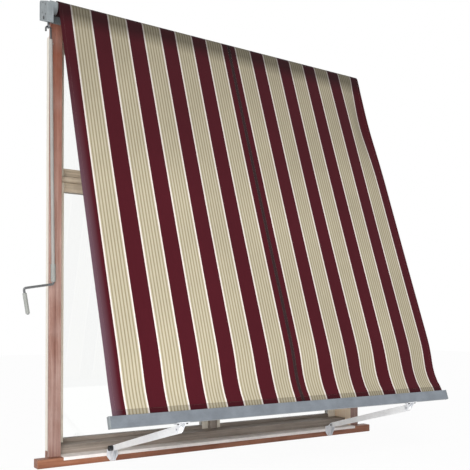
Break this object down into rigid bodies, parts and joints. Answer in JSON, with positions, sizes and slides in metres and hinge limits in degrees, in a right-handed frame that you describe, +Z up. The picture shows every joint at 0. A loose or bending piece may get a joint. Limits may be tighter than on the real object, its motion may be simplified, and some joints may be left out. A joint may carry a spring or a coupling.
{
  "type": "fabric awning",
  "caption": "Striped fabric awning on a roller with two drop arms and a hand crank, fixed to the wooden window frame that carries it",
  "frame": {"origin": "middle of the sill's underside, in line with the front face of the jambs", "axes": "X along the window, +Y into the wall, +Z up"},
  "size_m": [2.2741, 0.984, 2.2893],
  "materials": {
    "stained_wood": "brown stain, worn",
    "rail_wood": "weathered grey brown",
    "bare_wood": "pale sapwood, oiled",
    "glass": "clear float glass",
    "satin_aluminium": "satin, bluish grey",
    "cap_plastic": "moulded, grey",
    "cast_alloy": "die cast, fine grain",
    "white_paint": "satin white powder coat",
    "plated_steel": "zinc plated",
    "black_plastic": "moulded, black",
    "grey_plastic": "moulded, light grey",
    "striped_fabric": "woven, burgundy and cream stripes"
  },
  "bodies": {
    "window_frame": {"left_jamb": "stained_wood", "right_jamb": "stained_wood", "head_rail": "stained_wood", "bottom_rail": "rail_wood", "transom": "rail_wood", "mullion": "rail_wood", "sill": "stained_wood", "sill_flashing": "satin_aluminium", "left_sash_lower_hinge": "plated_steel", "left_sash_upper_hinge": "plated_steel", "right_sash_lower_hinge": "plated_steel", "right_sash_upper_hinge": "plated_steel", "top_light_left_stile": "bare_wood", "top_light_right_stile": "bare_wood", "top_light_bottom_rail": "bare_wood", "top_light_top_rail": "bare_wood", "top_light_glass": "glass", "gear_housing": "cast_alloy", "gear_wall_plate": "cast_alloy", "worm_shaft": "plated_steel", "right_bracket": "cast_alloy", "left_foot_bracket": "cast_alloy", "right_foot_bracket": "cast_alloy", "left_foot_bolt": "black_plastic", "right_foot_bolt": "black_plastic"},
    "left_arm": {"left_arm": "white_paint"},
    "right_arm": {"right_arm": "white_paint"},
    "bar": {"front_bar": "satin_aluminium", "bar_cap_left": "cap_plastic", "bar_cap_right": "cap_plastic", "hem_rod": "plated_steel", "left_bar_fork": "cast_alloy", "right_bar_fork": "cast_alloy", "left_fork_pin": "plated_steel", "right_fork_pin": "plated_steel", "left_fork_bolt_1": "black_plastic", "left_fork_bolt_2": "black_plastic", "right_fork_bolt_1": "black_plastic", "right_fork_bolt_2": "black_plastic"},
    "canopy": {"fabric": "striped_fabric"},
    "roller": {"roller_tube": "plated_steel", "drive_plug": "grey_plastic", "idler_plug": "grey_plastic", "worm_wheel": "plated_steel"},
    "crank": {"crank_hook": "plated_steel", "crank_tube": "white_paint", "crank_lever": "plated_steel"},
    "sleeve": {"crank_sleeve": "grey_plastic"},
    "grip": {"crank_grip": "grey_plastic"},
    "left_sash": {"left_sash_hinge_stile": "bare_wood", "left_sash_meeting_stile": "bare_wood", "left_sash_bottom_rail": "bare_wood", "left_sash_top_rail": "bare_wood", "left_sash_glass": "glass"},
    "right_sash": {"right_sash_hinge_stile": "bare_wood", "right_sash_meeting_stile": "bare_wood", "right_sash_bottom_rail": "bare_wood", "right_sash_top_rail": "bare_wood", "right_sash_glass": "glass"}
  },
  "joints": [
    {"name": "left_arm_swing", "type": "hinge", "parent": "window_frame", "child": "left_arm", "pos_m": [-0.708, -0.075, 0.073], "axis": [-1, 0, 0], "range_deg": [0, 70]},
    {"name": "right_arm_swing", "type": "hinge", "parent": "window_frame", "child": "right_arm", "pos_m": [0.744, -0.075, 0.073], "axis": [-1, 0, 0], "range_deg": [-1, 71]},
    {"name": "bar_tilt", "type": "hinge", "parent": "left_arm", "child": "bar", "pos_m": [-0.705, -0.74501, 0.25002], "axis": [-1, 0, 0], "range_deg": [-88, 1]},
    {"name": "canopy_swing", "type": "hinge", "parent": "window_frame", "child": "canopy", "pos_m": [-0.034, -0.055, 2.245], "axis": [-1, 0, 0], "range_deg": [-17, 1], "deforming": ["fabric"]},
    {"name": "roller_turn", "type": "hinge", "parent": "window_frame", "child": "roller", "pos_m": [-0.034, -0.055, 2.245], "axis": [-1, 0, 0], "range_deg": [-2, 1010]},
    {"name": "crank_swing", "type": "hinge", "parent": "window_frame", "child": "crank", "pos_m": [-1.0631, -0.0805, 2.13735], "axis": [-1, 0, 0], "range_deg": [0, 60]},
    {"name": "sleeve_spin", "type": "hinge", "parent": "crank", "child": "sleeve", "pos_m": [-1.03344, -0.0805, 0.94671], "axis": [-0.0147, 0, 0.9999], "continuous": true},
    {"name": "grip_spin", "type": "hinge", "parent": "crank", "child": "grip", "pos_m": [-1.16342, -0.0805, 0.79693], "axis": [-0.1623, 0, 0.9867], "continuous": true},
    {"name": "left_sash_swing", "type": "hinge", "parent": "window_frame", "child": "left_sash", "pos_m": [-0.955, 0.1915, 0.75], "axis": [0, 0, 1], "range_deg": [0, 90]},
    {"name": "right_sash_swing", "type": "hinge", "parent": "window_frame", "child": "right_sash", "pos_m": [0.955, 0.1915, 0.75], "axis": [0, 0, -1], "range_deg": [0, 90]}
  ],
  "couplings": [
    {"joint": "right_arm_swing", "follows": "left_arm_swing", "ratio": 1},
    {"joint": "bar_tilt", "follows": "left_arm_swing", "ratio": -1.2267},
    {"joint": "canopy_swing", "follows": "left_arm_swing", "ratio": -0.2267},
    {"joint": "roller_turn", "follows": "left_arm_swing", "ratio": 14.265}
  ]
}
